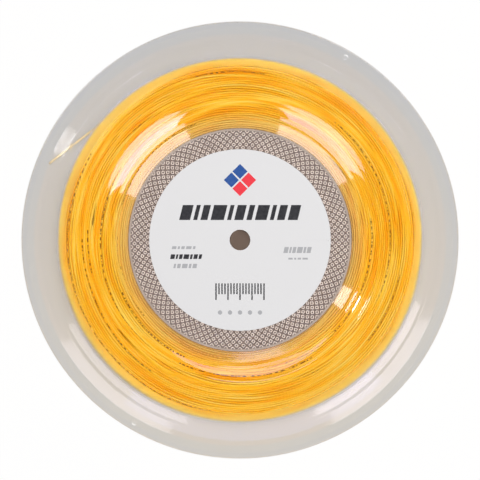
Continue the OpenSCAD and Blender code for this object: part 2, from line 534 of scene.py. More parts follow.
@dataclass(frozen=True)
class KnurledPlastic(Finish):
    """The same plastic where the knurl leaves it cloudy. Its ground is painted a dark warm shade,
    for the dim hub inside, and the rings on the studs are painted pale, as highlights.
    """

    name: str = "knurled_plastic"
    # Painted shade: the dim warm inside of the hub, painted into the cloudy ground.
    ground_shade: Colour = (0.27, 0.21, 0.18, 1.0)
    # Painted highlight: the pale rings on the studs' tops.
    ring: Colour = (0.93, 0.79, 0.69, 1.0)
    shade: Colour = (0.70, 0.60, 0.54, 1.0)
    clearness: Range = (0.55, 0.08)
    roughness: float = 0.32
    stud_top: Range = (0.35, 0.9)
    clouds_per_metre: float = 140.0
    cloudiness: Range = (0.75, 1.0)

    def shader(self, nodes: Nodes) -> bpy.types.Node:
        """Wires the shader.

        Args:
            nodes: The material's nodes.

        Returns:
            The surface shader.
        """
        stud = nodes.add("Attribute", attribute_name=STUD_HEIGHT).outputs["Fac"]
        clouds = nodes.noise(nodes.place(), self.clouds_per_metre)
        cloudy = nodes.spread(clouds, *NOISE_RANGE, *self.cloudiness)
        top = nodes.math("MULTIPLY", nodes.spread(stud, *self.stud_top), cloudy)
        shader = nodes.add("BsdfPrincipled", {
            # Painted highlight on the studs' rings over painted shade in the grooves.
            "Base Color": nodes.blend(top, self.ground_shade, self.ring),
            "Roughness": self.roughness, "IOR": 1.45,
            "Transmission Weight": nodes.spread(top, 0, 1, *self.clearness),
        })
        return nodes.let_light_in(shader, self.shade)


@dataclass(frozen=True)
class GlossyString(Finish):
    """Glossy extruded monofilament in streaks of tone, partly its own and partly painted shade and
    sheen, with printed marks here and there, painted shade in the gaps and by the hub and painted
    light at the outer edge.
    """

    mid: float
    name: str = "string"
    pale_colour: Colour = (1.0, 0.68, 0.095, 1.0)
    colour: Colour = (1.0, 0.54, 0.018, 1.0)
    # Both the string's deepest random tone and the painted shade in the gaps between the upper
    # turns.
    deep_and_shade_colour: Colour = (0.98, 0.40, 0.002, 1.0)
    mark_colour: Colour = (0.19, 0.06, 0.002, 1.0)
    # Painted shade: the darker colour that the string takes near the hub, where the hub shades it.
    hub_shade_colour: Colour = (0.73, 0.46, 0.16, 1.0)
    roughness: float = 0.2
    specular: float = 0.2
    tones_per_metre: float = 9.0
    mid_tone: Range = (0.25, 0.5)
    pale_tone: Range = (0.5, 0.8)
    marks_per_metre: float = 560.0
    mark_side: float = 0.25
    mark_width: float = 0.085
    stretches_per_metre: float = 4.5
    unmarked: float = 0.635
    printed: Range = (70 * MM, 76 * MM)
    # Painted shade: the depths under the pack's face over which the string in the gaps is painted
    # darker.
    gaps: Range = (7.9 * MM, 8.8 * MM)
    streak_width: float = 2.8 * MM
    streak_turn: float = 2.4
    # Painted light: the string is painted paler towards the pack's outer edge, for the haze of
    # light in the slanting plastic there.
    edge_light_radii: Range = (102 * MM, 108.5 * MM)
    edge_light: float = 0.4
    # Painted shade: how far the string is darkened towards the hub, by radius.
    hub_shade_share: tuple[Point, ...] = (
        (67.5 * MM, 0.85), (69 * MM, 0.62), (72 * MM, 0.45), (78 * MM, 0.0),
    )

    def shader(self, nodes: Nodes) -> bpy.types.Node:
        """Wires the shader.

        Args:
            nodes: The material's nodes.

        Returns:
            The surface shader.
        """
        uv = nodes.add("UVMap", uv_map=STRING_MAP).outputs[0]
        along, around, _ = nodes.add("SeparateXYZ", {0: uv}).outputs
        line = nodes.add("CombineXYZ", {0: along}).outputs[0]
        mark = self.marks(nodes, along, around, line)
        return nodes.add("BsdfPrincipled", {
            "Base Color": nodes.blend(mark, self.body(nodes, line), self.mark_colour),
            "Roughness": self.roughness, "IOR": 1.5, "Specular IOR Level": self.specular,
        })

    def body(self, nodes: Nodes, line: Socket) -> Socket:
        """Gives the string's colour, in streaks of tone, partly its own and partly painted shade
        and sheen, with painted shade in the gaps and by the hub and painted light at the outer
        edge.

        Args:
            nodes: The material's nodes.
            line: The place along the string, as a vector.

        Returns:
            The colour.
        """
        # The streaks are partly the string's own tone and partly painted shade and sheen among the
        # turns.
        strand = nodes.spread(nodes.noise(line, self.tones_per_metre, 2.0), *NOISE_RANGE)
        streak = nodes.spread(nodes.noise(self.rings(nodes), 1.0, 2.0), *NOISE_RANGE)
        tone = nodes.add("Mix", {0: 0.5, 2: strand, 3: streak}).outputs[0]
        # Painted light: paler towards the pack's outer edge.
        edge = nodes.spread(nodes.radius(), *self.edge_light_radii, 0.0, self.edge_light)
        tone = nodes.math("ADD", tone, edge)
        body = nodes.blend(nodes.spread(tone, *self.mid_tone), self.deep_and_shade_colour, self.colour)
        body = nodes.blend(nodes.spread(tone, *self.pale_tone), body, self.pale_colour)
        # Painted shade: the string in the gaps between the upper turns takes the deep colour.
        body = nodes.blend(self.sunk(nodes), body, self.deep_and_shade_colour)
        # Painted shade: the string gets darker towards the hub.
        return nodes.blend(nodes.profile(nodes.radius(), self.hub_shade_share), body, self.hub_shade_colour)

    def marks(self, nodes: Nodes, along: Socket, around: Socket, line: Socket) -> Socket:
        """Tells where the printed dashes lie.

        Args:
            nodes: The material's nodes.
            along: The distance along the string.
            around: The share of a turn round it.
            line: The place along the string, as a vector.

        Returns:
            From 0 on the bare string to 1 on a dash.
        """
        stretches = nodes.add("CombineXYZ", {0: along, 1: 0.4, 2: 0.7}).outputs[0]
        stretch = nodes.noise(stretches, self.stretches_per_metre, 1.0)
        mark = nodes.math("GREATER_THAN", stretch, self.unmarked)
        dash = nodes.math("GREATER_THAN", nodes.noise(line, self.marks_per_metre, 1.0), 0.5)
        facing = nodes.math("COMPARE", around, self.mark_side, self.mark_width)
        for share in (dash, facing, nodes.spread(nodes.radius(), *self.printed)):
            mark = nodes.math("MULTIPLY", mark, share)
        return mark

    def sunk(self, nodes: Nodes) -> Socket:
        """Tells where the string lies in the gaps between the upper turns, which get painted shade.

        Args:
            nodes: The material's nodes.

        Returns:
            From 0 on the upper turns to 1 in the gaps.
        """
        height = nodes.math("ABSOLUTE", nodes.math("SUBTRACT", nodes.coordinate(2), self.mid))
        deep = nodes.spread(height, *self.gaps, 1.0, 0.0)
        flat = nodes.spread(nodes.radius(), *self.edge_light_radii, 1.0, 0.0)
        return nodes.math("MULTIPLY", deep, flat)

    def rings(self, nodes: Nodes) -> Socket:
        """Gives coordinates that stretch a pattern along the turns.

        Args:
            nodes: The material's nodes.

        Returns:
            The coordinates.
        """
        way = nodes.vector("NORMALIZE", nodes.level_place())
        wide = nodes.vector("MULTIPLY", way, (self.streak_turn,) * 3)
        out = nodes.math("DIVIDE", nodes.radius(), self.streak_width)
        return nodes.vector("ADD", wide, nodes.add("CombineXYZ", {2: out}).outputs[0])


@dataclass(frozen=True)
class SingleString(GlossyString):
    """The same string where one strand lies alone, painted paler for the light that shows through
    it.
    """

    name: str = "string_alone"
    pale_colour: Colour = (0.92, 0.76, 0.46, 1.0)
    colour: Colour = (0.88, 0.70, 0.38, 1.0)
    deep_and_shade_colour: Colour = (0.85, 0.66, 0.32, 1.0)


@dataclass(frozen=True)
class CoatedPaper(Finish):
    """White satin paper."""

    name: str = "label_paper"
    colour: Colour = (0.668, 0.66, 0.66, 1.0)
    roughness: float = 0.45
    fibres_per_metre: float = 900.0
    fibre_height: float = 0.02 * MM
    fibre_strength: float = 0.05

    def shader(self, nodes: Nodes) -> bpy.types.Node:
        """Wires the shader.

        Args:
            nodes: The material's nodes.

        Returns:
            The surface shader.
        """
        bump = nodes.add("Bump", {
            "Strength": self.fibre_strength, "Distance": self.fibre_height,
            "Height": nodes.noise(nodes.place(), self.fibres_per_metre, 4.0),
        })
        return nodes.add("BsdfPrincipled", {
            "Base Color": self.colour, "Roughness": self.roughness, "Normal": bump.outputs[0],
        })


@dataclass(frozen=True)
class PrintInk(Finish):
    """Printing ink that lets a little of the paper's mottle through."""

    name: str
    colour: Colour
    roughness: float = 0.4
    specks_per_metre: float = 500.0
    specks: tuple[float, float, float, float] = (0.35, 0.75, 0.0, 0.03)

    def shader(self, nodes: Nodes) -> bpy.types.Node:
        """Wires the shader.

        Args:
            nodes: The material's nodes.

        Returns:
            The surface shader.
        """
        specks = nodes.spread(nodes.noise(nodes.place(), self.specks_per_metre, 4.0), *self.specks)
        return nodes.add("BsdfPrincipled", {
            "Base Color": nodes.blend(specks, self.colour, CoatedPaper.colour),
            "Roughness": self.roughness,
        })


@dataclass(frozen=True)
class StudioFloor(Finish):
    """Pale floor that reads white around the reel. Under the reel it keeps part of the reel's
    shadow, with painted shade: a dark warm brown under the hub, and a glow painted at set levels by
    radius, brighter and warmer towards the bottom, for the light seen through the plastic.
    """

    name: str = "studio_floor"
    colour: Colour = (0.9, 0.87, 0.84, 1.0)
    # Painted shade: the floor under the hub is painted a dark warm brown.
    shaded_colour: Colour = (0.62, 0.45, 0.36, 1.0)
    shaded: Range = (12 * MM, 70 * MM)
    footprint: Range = (134.7 * MM, 135.2 * MM)
    glow: Colour = (1.0, 1.0, 1.0, 1.0)
    # Painted light: the glow that the floor under the reel shows through the plastic, set by
    # radius.
    glow_near_string: Colour = (0.62, 0.57, 0.515, 1.0)
    glow_through: Colour = (0.52, 0.47, 0.44, 1.0)
    glow_under_band: Colour = (0.47, 0.468, 0.475, 1.0)
    glow_past_rim: Colour = (0.405, 0.405, 0.42, 1.0)
    # Painted light and shade: the glow under the reel is brighter and warmer towards the bottom.
    glow_tint_below: Colour = (1.13, 1.11, 1.03, 1.0)
    glow_tint_above: Colour = (0.82, 0.89, 0.97, 1.0)
    own_light: float = 0.93
    seen_through: Range = (63 * MM, 70 * MM)
    own_light_through: float = 0.65
    near_string: Range = (108 * MM, 124 * MM)
    band: Range = (126.5 * MM, 128.0 * MM)
    past_rim: Range = (130.9 * MM, 131.3 * MM)
    glow_tint_span: Range = (-110 * MM, 110 * MM)

    def shader(self, nodes: Nodes) -> bpy.types.Node:
        """Wires the shader.

        Args:
            nodes: The material's nodes.

        Returns:
            The surface shader.
        """
        radius = nodes.radius()
        through = nodes.spread(radius, *self.seen_through, 0.0, self.own_light_through)
        outside = nodes.spread(radius, *self.footprint, 0.0, self.own_light)
        path = nodes.add("LightPath").outputs
        seen = nodes.math("MAXIMUM", path["Is Camera Ray"], path["Is Transmission Ray"])
        seen = nodes.math("MAXIMUM", seen, path["Is Glossy Ray"])
        share = nodes.math("MULTIPLY", nodes.math("MAXIMUM", through, outside), seen)
        # Painted light: the glow under the reel, at levels set by radius.
        light = self.glow_near_string
        for stretch, glow in ((self.near_string, self.glow_through),
                              (self.band, self.glow_under_band),
                              (self.past_rim, self.glow_past_rim)):
            light = nodes.blend(nodes.spread(radius, *stretch), light, glow)
        # Painted light: brighter and warmer towards the bottom.
        above = nodes.spread(nodes.coordinate(1), *self.glow_tint_span)
        tint = nodes.blend(above, self.glow_tint_below, self.glow_tint_above)
        light = nodes.vector("MULTIPLY", light, tint)
        light = nodes.blend(nodes.spread(radius, *self.footprint), light, self.glow)
        # Painted shade: dark warm brown under the hub.
        tone = nodes.blend(nodes.spread(radius, *self.shaded), self.shaded_colour, self.colour)
        matt = nodes.add("BsdfDiffuse", {"Color": tone})
        glow = nodes.add("Emission", {"Color": light, "Strength": 1.0})
        return nodes.add("MixShader", {0: share, 1: matt.outputs[0], 2: glow.outputs[0]})


# ---------------------------------------------------------------- the moulded halves


@dataclass(frozen=True)
class ReelSizes:
    """The sizes that both halves, the string and the label are built from."""

    rim_radius: float
    mid: float
    bore_radius: float = 6.0 * MM
    drum_radius: float = 66.5 * MM
    wall: float = 1.8 * MM
    hub_inset: float = 0.2 * MM
    seat_depth: float = 0.3 * MM
    lip: float = 0.7 * MM
    seam_gap: float = 0.1 * MM

    @classmethod
    def measure(cls) -> "ReelSizes":
        """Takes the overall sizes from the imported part.

        Returns:
            The sizes.
        """
        low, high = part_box("front_shell")
        _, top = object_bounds()
        return cls(rim_radius=(high.x - low.x) / 2, mid=top[2] / 2)

    @property
    def hub_face(self) -> float:
        """Height of the lip round the hub's recess."""
        return self.mid - self.hub_inset

    @property
    def seat(self) -> float:
        """Height of the recess's floor."""
        return self.hub_face - self.seat_depth

    @property
    def plate(self) -> float:
        """Height of the hub plate's inner face."""
        return self.seat - self.wall


@dataclass(frozen=True)
class FlangeCurve:
    """The curve of a flange from the hub's lip to the rim, and its inner side."""

    sizes: ReelSizes
    band_width: float = 7.0 * MM
    edge_radius: float = 0.5 * MM
    cone_width: float = 6.8 * MM
    cone_slope: float = 19.9
    ledge_width: float = 1.7 * MM
    ledge_slope: float = 10.5
    rise_width: float = 4.5 * MM
    rise_slope: float = 22.0
    valley_depth: float = 4.234 * MM
    valley_slope: float = 3.0
    shoulder_width: float = 11.2 * MM
    shoulder_fall: float = 1.7 * MM
    shoulder_step: Range = (6.6 * MM, 2.4 * MM)
    shoulder_slope: float = 9.2
    step_slope: float = 6.4
    slope_width: float = 12.0 * MM
    slope_start: float = 20.0
    root_radius: float = 1.0 * MM
    chamfer: float = 0.4 * MM
    arc_steps: int = 16
    edge_steps: int = 10

    @property
    def lip_radius(self) -> float:
        """Radius of the crease where the flange leaves the hub."""
        return self.sizes.drum_radius + self.sizes.lip / 2

    @property
    def shoulder_radius(self) -> float:
        """Radius of the crease at the shoulder's foot."""
        return self.lip_radius + self.shoulder_width

    @property
    def band_radius(self) -> float:
        """Radius of the rim band's inner edge."""
        return self.sizes.rim_radius - self.band_width

    def ease(self, start: Point, end: Point, slope_in: float, slope_out: float) -> list[Point]:
        """Draws a smooth stretch between two points, without its first point.

        Args:
            start: The first point.
            end: The last point.
            slope_in: The slope at the start, in degrees.
            slope_out: The slope at the end, in degrees.

        Returns:
            The points.
        """
        reach = end[0] - start[0]
        pull_in, pull_out = reach * grade(slope_in), reach * grade(slope_out)
        points = []
        for step in range(1, self.arc_steps + 1):
            t = step / self.arc_steps
            t2, t3 = t * t, t * t * t
            height = start[1] * (2 * t3 - 3 * t2 + 1) + end[1] * (3 * t2 - 2 * t3)
            height += pull_in * (t3 - 2 * t2 + t) + pull_out * (t3 - t2)
            points.append((start[0] + reach * t, height))
        return points

    def arc(self, centre: Point, radius: float, start: float, end: float) -> list[Point]:
        """Draws an arc between two angles, in degrees.

        Args:
            centre: The arc's centre.
            radius: The arc's radius.
            start: The first angle.
            end: The last angle.

        Returns:
            The points, with both ends.
        """
        angles = np.radians(np.linspace(start, end, self.edge_steps + 1))
        x, y = centre
        return [(x + radius * math.cos(a), y + radius * math.sin(a)) for a in angles]

    def shoulder(self, lip: Point, foot: Point) -> list[Point]:
        """Draws the shoulder, which eases off a little half-way down.

        Args:
            lip: Its start at the hub's lip.
            foot: Its end at the crease.

        Returns:
            The points, with both ends.
        """
        slope, (reach, width) = self.shoulder_slope, self.shoulder_step
        start = (lip[0] + reach, lip[1] - reach * grade(slope))
        end = (start[0] + width, start[1] - width * grade(self.step_slope))
        return [lip, start, *self.ease(start, end, -slope, -slope), foot]

    def climb(self) -> list[Point]:
        """Draws the climb from the valley to the rim band, with a narrow ledge half-way up.

        Returns:
            The points, with both ends.
        """
        point = (self.band_radius, self.sizes.mid)
        points = [point]
        for width, slope in ((self.cone_width, self.cone_slope),
                             (self.ledge_width, self.ledge_slope),
                             (self.rise_width, self.rise_slope)):
            point = (point[0] - width, point[1] - width * grade(slope))
            points.append(point)
        return points[::-1]

    def outer(self) -> list[Point]:
        """Draws the outer face from the hub's lip to the rim band.

        Returns:
            The points.
        """
        lip = (self.lip_radius, self.sizes.hub_face)
        foot = (self.shoulder_radius, self.sizes.hub_face - self.shoulder_fall)
        valley = (self.shoulder_radius + self.slope_width, self.sizes.mid - self.valley_depth)
        climb = self.climb()
        slope = self.valley_slope
        return [
            *self.shoulder(lip, foot),
            *self.ease(foot, valley, -self.slope_start, -slope),
            *self.ease(valley, climb[0], -slope, 0.0),
            *climb[1:],
        ]

    def rim(self) -> list[Point]:
        """Draws the rounded rim, down to the inner face's chamfer.

        Returns:
            The points.
        """
        radius, mid = self.sizes.rim_radius, self.sizes.mid
        inner = mid - self.sizes.wall
        corner = (radius - self.edge_radius, mid - self.edge_radius)
        return [
            *self.arc(corner, self.edge_radius, 90, 0),
            (radius, inner + self.chamfer), (radius - self.chamfer, inner),
        ]

    def root(self) -> list[Point]:
        """Draws the rounded corner between the inner face and the drum.

        Returns:
            The points.
        """
        radius = self.sizes.drum_radius + self.root_radius
        fall = (radius - self.lip_radius) * self.shoulder_fall / self.shoulder_width
        height = self.sizes.hub_face - self.sizes.wall - fall
        return self.arc((radius, height - self.root_radius), self.root_radius, 90, 180)


@dataclass
class HalfShell:
    """One moulded half: flange, hub plate with its knurled band, ribs, posts and eyelets."""

    face: Face
    sizes: ReelSizes
    curve: FlangeCurve
    eyelet_turn: float
    segments: int = 288
    post_segments: int = 32
    drum_wall: float = 2.0 * MM
    bore_wall: float = 2.2 * MM
    lap: float = 4.0 * MM
    spigot_wall: float = 0.9 * MM
    snap_gap: float = 0.15 * MM
    rib_count: int = 8
    rib_thickness: float = 1.6 * MM
    rib_reach: float = 52.0 * MM
    rib_high: float = 10.0 * MM
    rib_low: float = 3.0 * MM
    post_count: int = 4
    post_radius: float = 40.0 * MM
    boss_radius: float = 4.5 * MM
    stem_radius: float = 2.6 * MM
    stem_length: float = 7.5 * MM
    barb_height: float = 2.4 * MM
    barb_out: float = 0.45 * MM
    stem_slot: float = 1.1 * MM
    eyelet_radius: float = 1.2 * MM
    eyelet_inset: float = 4.4 * MM
    knurl_inner: float = 54.4 * MM
    knurl_row: float = 1.0 * MM
    knurl_rows: int = 11
    knurl_cuts: int = 3
    knurl_count: int = 96
    knurl_height: float = 0.30 * MM
    stud_pitch: float = 4.0 * MM
    first_stud: float = 0.25
    stud_size: float = 0.27
    stud_width: float = 0.15
    # Painted tone for the plain ring round the knurl, half-way between the knurled finish's painted
    # shade and painted highlight.
    painted_lip_tone: float = 0.6
    crease_angle: float = 9.0

    @property
    def name(self) -> str:
        """The piece's name."""
        return f"{self.face.name.lower()}_half"

    @property
    def post_turn(self) -> float:
        """The first post's angle, half-way between two ribs."""
        return math.pi / self.rib_count

    @property
    def knurl_outer(self) -> float:
        """Radius at which the knurled band ends."""
        return self.knurl_inner + self.knurl_rows * self.knurl_row

    def at(self, height: float) -> float:
        """Turns a height counted outwards from the middle plane into a place along Z."""
        return self.sizes.mid + self.face.value * height

    def placed(self, section: Sequence[Point]) -> list[Point]:
        """Turns the heights of a section into places along Z."""
        return [(radius, self.at(height)) for radius, height in section]

    def section(self) -> list[Point]:
        """Draws the half's closed section.

        Returns:
            The points, as radius and height.
        """
        s, seam = self.sizes, self.sizes.seam_gap / 2
        inside = s.drum_radius - self.drum_wall
        spigot = inside + self.spigot_wall
        cut = self.curve.chamfer
        if self.face is Face.FRONT:
            foot = [(s.drum_radius, seam), (spigot, seam), (spigot, cut - self.lap),
                    (spigot - cut, -self.lap), (inside, -self.lap)]
        else:
            socket, depth = spigot + self.snap_gap, self.lap + self.snap_gap
            foot = [(s.drum_radius, seam), (socket, seam), (socket, depth), (inside, depth)]
        outer = self.curve.outer()
        back = [(radius, height - s.wall) for radius, height in outer[:0:-1]]
        rows = range(self.knurl_rows + 1)
        knurl = [(self.knurl_inner + row * self.knurl_row, s.seat) for row in rows]
        tube = s.bore_radius + self.bore_wall
        return [
            (s.bore_radius, s.seat), *knurl, (s.drum_radius - s.lip, s.seat),
            (s.drum_radius - s.lip, s.hub_face), *outer, *self.curve.rim(), *back,
            *self.curve.root(), *foot, (inside, s.plate), (tube, s.plate),
            (tube, seam), (s.bore_radius, seam),
        ]

    def mark_creases(self, shell: Piece, section: Sequence[Point]) -> None:
        """Keeps the rings sharp where the section turns sharply, and smooths the rest.

        Args:
            shell: The turned shell.
            section: Its section.
        """
        def near(radius: float, height: float) -> Point:
            """Rounds a place in the section to a hundredth of a millimetre."""
            return round(radius / MM, 2), round(height / MM, 2)

        known = set()
        befores, afters = section[-1:] + section[:-1], section[1:] + section[:1]
        for before, here, after in zip(befores, section, afters):
            into = math.atan2(here[1] - before[1], here[0] - before[0])
            out = math.atan2(after[1] - here[1], after[0] - here[0])
            bend = abs((math.degrees(out - into) + 180) % 360 - 180)
            if bend > self.crease_angle:
                known.add(near(here[0], self.at(here[1])))
        with editing(shell, "EDGE", "DESELECT") as mesh:
            for edge in mesh.edges:
                ends = [near(math.hypot(v.co.x, v.co.y), v.co.z) for v in edge.verts]
                if ends[0][1] == ends[1][1]:
                    edge.select = known.issuperset(ends)
            bpy.ops.mesh.mark_sharp()
        bpy.ops.object.shade_smooth_by_angle(angle=SMOOTH_BELOW, keep_sharp_edges=True)

    def ribs(self) -> Piece:
        """Builds the ribs between the bore tube and the drum.

        Returns:
            One mesh with all the ribs.
        """
        s = self.sizes
        start, top = s.bore_radius + self.bore_wall / 2, s.plate + s.wall / 2
        low = s.plate - self.rib_high
        ribs = add_block(f"{self.name}_ribs",
                         ((start + self.rib_reach) / 2, 0, self.at((top + low) / 2)),
                         (self.rib_reach - start, self.rib_thickness, top - low))
        with editing(ribs, action="DESELECT") as mesh:
            for vert in mesh.verts:
                inner_side = abs(vert.co.z - self.at(low)) < MERGE_GAP
                vert.select = vert.co.x > self.rib_reach - MM and inner_side
            mesh.select_flush_mode()
            lift = self.face.value * (self.rib_high - self.rib_low)
            bpy.ops.transform.translate(value=(0, 0, lift))
        ring_copies(ribs, self.rib_count)
        return ribs

    def stand(self, name: str, section: Sequence[Point]) -> Piece:
        """Turns a small section about a post's own axis.

        Args:
            name: What the piece is.
            section: The section, as distance from the post's axis and height.

        Returns:
            One mesh at the first post.
        """
        post = turn(draw_line(f"{self.name}_{name}", self.placed(section)), self.post_segments)
        shift(post, spoke(self.post_turn, self.post_radius))
        return post

    def posts(self) -> Piece:
        """Builds the bosses, and on the front half their split snap stems.

        Returns:
            One mesh with all the posts.
        """
        s, seam = self.sizes, self.sizes.seam_gap / 2
        top = s.plate + s.wall / 2
        boss = [(0, top), (self.boss_radius, top), (self.boss_radius, seam)]
        if self.face is Face.REAR:
            posts = self.stand("posts", [*boss, (0, seam)])
        else:
            barb, end = self.stem_radius + self.barb_out, -self.stem_length
            cut = self.curve.chamfer
            posts = self.stand("posts", [
                *boss, (self.stem_radius, seam), (self.stem_radius, end + self.barb_height),
                (barb, end + self.barb_height - cut), (self.stem_radius - cut, end), (0, end),
            ])
            slot = add_block("stem_slot", (self.post_radius, 0, self.at(end / 2 - seam)),
                             (2 * self.boss_radius, self.stem_slot, self.stem_length))
            with editing(slot):
                bpy.ops.transform.rotate(value=-self.post_turn, orient_axis="Z",
                                         center_override=CENTRE)
            combine(posts, slot, "DIFFERENCE")
        ring_copies(posts, self.post_count)
        return posts

    def holes(self) -> Piece:
        """Builds what is cut away: the eyelets, and on the rear half the snap sockets.

        Returns:
            One mesh to cut with.
        """
        face, cut = self.sizes.mid, self.curve.chamfer
        above, through = face + MM, face - 2 * self.sizes.wall
        points = self.placed([
            (0, above), (self.eyelet_radius + cut + MM, above), (self.eyelet_radius, face - cut),
            (self.eyelet_radius, through), (0, through),
        ])
        holes = turn(draw_line(f"{self.name}_holes", points), self.post_segments)
        reach = self.sizes.rim_radius - self.eyelet_inset
        shift(holes, spoke(math.radians(self.eyelet_turn), reach))
        ring_copies(holes, 2)
        if self.face is Face.FRONT:
            return holes
        hole = self.stem_radius + self.snap_gap
        groove = hole + self.barb_out
        groove_top = self.stem_length - self.barb_height - self.snap_gap
        end = self.stem_length + 2 * self.snap_gap
        sockets = self.stand("sockets", [
            (0, -MM), (hole + cut + MM, -MM), (hole, cut), (hole, groove_top),
            (groove, groove_top), (groove, end), (0, end),
        ])
        ring_copies(sockets, self.post_count)
        return join([holes, sockets])

    def knurl(self, shell: Piece) -> None:
        """Raises the ring-topped studs of the knurled band.

        Args:
            shell: The shell, with its band still flat.
        """
        seat, lip = self.at(self.sizes.seat), self.at(self.sizes.hub_face)
        inner, outer, end = self.knurl_inner, self.knurl_outer, self.curve.lip_radius
        past_pack = self.curve.climb()[0][0]
        with editing(shell, "FACE", "DESELECT") as mesh:
            for face in mesh.faces:
                middle = face.calc_center_median()
                radius = math.hypot(middle.x, middle.y)
                to_seat, to_lip = abs(middle.z - seat), abs(middle.z - lip)
                face.select = to_seat < MERGE_GAP and inner < radius < outer
                # The plain ring round the knurl also takes the knurled finish, with its painted
                # shade and highlight.
                plain = min(to_seat, to_lip) < MERGE_GAP and outer < radius < end
                face.material_index = 2 if radius > past_pack else int(face.select or plain)
            bpy.ops.mesh.subdivide(number_cuts=self.knurl_cuts)
        heights = [0.0] * len(shell.data.vertices)
        group = shell.vertex_groups.new(name="knurl")
        for vert in shell.data.vertices:
            radius = math.hypot(vert.co.x, vert.co.y)
            if abs(vert.co.z - seat) < MERGE_GAP and inner < radius < outer:
                heights[vert.index] = self.stud(radius, math.atan2(vert.co.y, vert.co.x))
                group.add([vert.index], heights[vert.index], "REPLACE")
            elif outer - MERGE_GAP < radius < end + MERGE_GAP:
                # Painted tone: lightens the shade on the plain ring round the knurl.
                heights[vert.index] = self.painted_lip_tone
        modifier = shell.modifiers.new("knurl", "DISPLACE")
        modifier.direction = "Z"
        modifier.mid_level = 0
        modifier.strength = self.face.value * self.knurl_height
        modifier.vertex_group = group.name
        select_only(shell)
        bpy.ops.object.modifier_apply(modifier=modifier.name)
        shell.vertex_groups.clear()
        shell.data.attributes.new(STUD_HEIGHT, "FLOAT", "POINT").data.foreach_set("value", heights)

    def stud(self, radius: float, angle: float) -> float:
        """Gives the knurl's height at a place, from 0 in a groove to 1 on a stud's ring.

        Args:
            radius: The distance from the reel's axis.
            angle: The angle round it.

        Returns:
            The height.
        """
        column = angle * self.knurl_count / math.tau
        row = (radius - self.knurl_inner) / self.stud_pitch + self.first_stud
        one, other = column + row, column - row
        one, other = one - round(one), other - round(other)
        ring = (one**4 + other**4) ** 0.25
        return max(0.0, 1 - ((ring - self.stud_size) / self.stud_width) ** 2)

    def build(self) -> Piece:
        """Builds the whole half.

        Returns:
            The finished mesh.
        """
        section = self.section()
        shell = turn(draw_line(self.name, self.placed(section), closed=True), self.segments)
        combine(shell, join([self.ribs(), self.posts()]), "UNION")
        combine(shell, self.holes(), "DIFFERENCE")
        self.mark_creases(shell, section)
        self.knurl(shell)
        return shell

    def dress(self, shell: Piece, *plastics: bpy.types.Material) -> None:
        """Gives the half its finishes and puts it in the place of its CAD node."""
        wear(shell, Slot.PLASTIC, *plastics)
        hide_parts(f"{self.face.name.lower()}_shell")


# ---------------------------------------------------------------- the string


@dataclass(frozen=True)
class Wander:
    """Slow sideways wandering of the wound string, the same for turns that lie together."""

    waves: tuple[tuple[int, float, float, float], ...] = (
        (2, 160.0, 0.3, 0.30 * MM), (3, 250.0, 1.9, 0.26 * MM), (5, 420.0, 4.2, 0.20 * MM),
        (7, 610.0, 2.7, 0.13 * MM), (11, 900.0, 5.1, 0.09 * MM),
    )

    def at(self, radius: np.ndarray, angle: np.ndarray) -> np.ndarray:
        """Gives the sideways moves at some radii and angles."""
        return sum(size * np.sin(count * angle + rate * radius + start)
                   for count, rate, start, size in self.waves)


